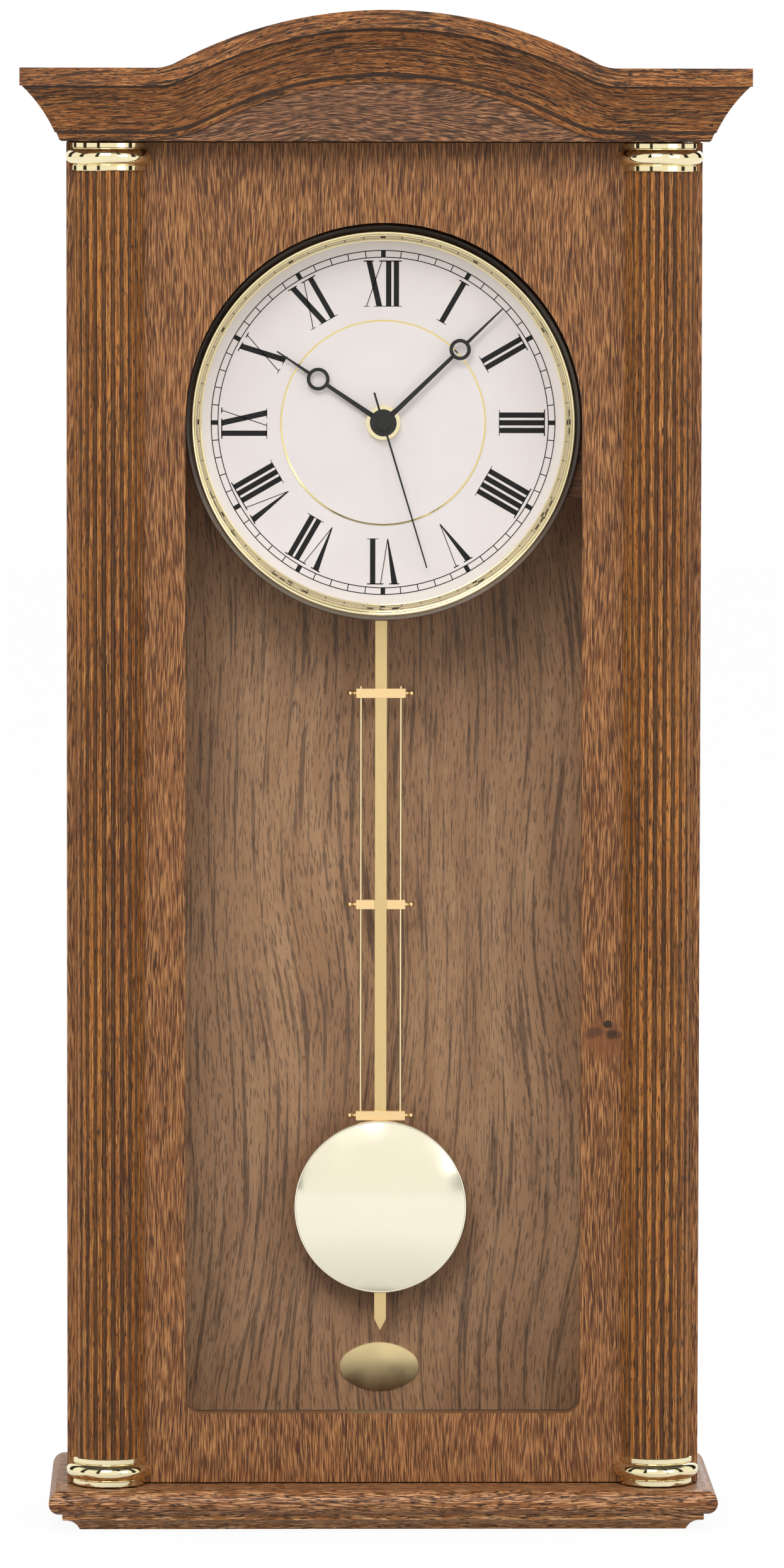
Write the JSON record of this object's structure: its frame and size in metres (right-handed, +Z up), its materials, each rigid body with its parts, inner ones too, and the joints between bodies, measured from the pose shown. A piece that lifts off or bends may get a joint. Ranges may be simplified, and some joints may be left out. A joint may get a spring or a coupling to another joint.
{
  "type": "pendulum clock",
  "caption": "Arched-top wooden case clock with fluted half columns, glazed swinging door, round dial with Roman numerals and a swinging gridiron-style pendulum.",
  "frame": {"origin": "middle of the footprint box, on the surface that the clock stands on", "axes": "+X to the viewer's right, -Y towards the viewer, +Y towards the wall, +Z up"},
  "size_m": [0.3096, 0.13, 0.65],
  "materials": {
    "case_wood": "satin lacquered oak, stained walnut",
    "panel_wood": "satin veneered board",
    "pine": "plain sawn pine",
    "carrier_wood": "stained fibreboard",
    "steel": "zinc plated",
    "polished_brass": "polished and lacquered",
    "satin_brass": "satin",
    "dial_enamel": "semi matt white",
    "hand_paint": "semi matt black",
    "black_plastic": "moulded",
    "white_plastic": "moulded",
    "motor_case": "moulded",
    "copper": "enamelled copper wire",
    "board_green": "solder resist",
    "ferrite": "sintered",
    "cell_wrap": "printed sleeve without a print",
    "clear_glass": "polished"
  },
  "bodies": {
    "case": {"base_moulding": "case_wood", "base_board": "case_wood", "side_left": "case_wood", "side_right": "case_wood", "back_panel": "panel_wood", "hanging_rail": "pine", "hanger_plate": "steel", "case_screws": "steel", "pediment": "case_wood", "crown_return_left": "case_wood", "crown_return_right": "case_wood", "top_board": "panel_wood", "pivot_pins": "steel", "magnet_catch": "black_plastic", "dial_carrier": "carrier_wood", "carrier_cleats": "pine", "backing_disc": "carrier_wood", "bezel": "polished_brass", "dial_plate": "dial_enamel", "centre_nut": "polished_brass", "movement_front": "black_plastic", "movement_back": "black_plastic", "second_motor": "motor_case", "minute_motor": "motor_case", "circuit_board": "board_green", "antenna": "ferrite", "battery": "cell_wrap", "battery_contacts": "steel", "pendulum_housing": "black_plastic", "drive_coil": "copper", "pendulum_axle": "steel", "oval_plate": "polished_brass"},
    "door": {"door_board": "case_wood", "column_left": "case_wood", "column_right": "case_wood", "capitals_top": "polished_brass", "capitals_bottom": "polished_brass", "door_glass": "clear_glass", "glass_bead": "case_wood", "strike_plate": "steel", "pivot_bushes": "satin_brass"},
    "pendulum": {"pendulum_lever": "steel", "lever_magnet": "ferrite", "pendulum_hook": "steel", "pendulum_rod": "satin_brass", "crossbars": "satin_brass", "side_wires": "satin_brass", "bob_front": "polished_brass", "bob_back": "satin_brass"},
    "minute": {"minute_hand": "hand_paint", "cannon_wheel": "satin_brass"},
    "hour": {"hour_hand": "hand_paint", "hour_wheel": "satin_brass"},
    "second": {"second_hand": "hand_paint", "second_wheel": "satin_brass"},
    "setting": {"setting_wheel": "satin_brass", "setting_knob": "black_plastic"},
    "second_drive": {"second_pinion": "white_plastic"},
    "minute_drive": {"minute_pinion": "white_plastic"},
    "button": {"set_button": "white_plastic"}
  },
  "joints": [
    {"name": "door_hinge", "type": "hinge", "parent": "case", "child": "door", "pos_m": [0.1291, -0.0189, 0.3], "axis": [0, 0, 1], "range_deg": [0, 90]},
    {"name": "pendulum_swing", "type": "hinge", "parent": "case", "child": "pendulum", "pos_m": [0, 0.033, 0.4397], "axis": [0, 1, 0], "range_deg": [-6, 6]},
    {"name": "minute_turn", "type": "hinge", "parent": "case", "child": "minute", "pos_m": [0, 0.015, 0.4737], "axis": [0, 1, 0], "continuous": true},
    {"name": "hour_turn", "type": "hinge", "parent": "case", "child": "hour", "pos_m": [0, 0.015, 0.4737], "axis": [0, 1, 0], "continuous": true},
    {"name": "second_turn", "type": "hinge", "parent": "case", "child": "second", "pos_m": [0, 0.02, 0.4737], "axis": [0, 1, 0], "continuous": true},
    {"name": "setting_turn", "type": "hinge", "parent": "case", "child": "setting", "pos_m": [0, 0.02, 0.4837], "axis": [0, 1, 0], "continuous": true},
    {"name": "second_drive_turn", "type": "hinge", "parent": "case", "child": "second_drive", "pos_m": [0.00909, 0.022, 0.47895], "axis": [0, 1, 0], "continuous": true},
    {"name": "minute_drive_turn", "type": "hinge", "parent": "case", "child": "minute_drive", "pos_m": [-0.00909, 0.022, 0.47895], "axis": [0, 1, 0], "continuous": true},
    {"name": "button_press", "type": "slide", "parent": "case", "child": "button", "axis": [0, -1, 0], "range_m": [0, 0.0005], "stiffness_N_per_m": 300}
  ],
  "couplings": [
    {"joint": "hour_turn", "follows": "minute_turn", "ratio": 0.083333},
    {"joint": "setting_turn", "follows": "minute_turn", "ratio": -0.33333},
    {"joint": "minute_drive_turn", "follows": "minute_turn", "ratio": -3.2},
    {"joint": "second_drive_turn", "follows": "second_turn", "ratio": -3.2}
  ]
}
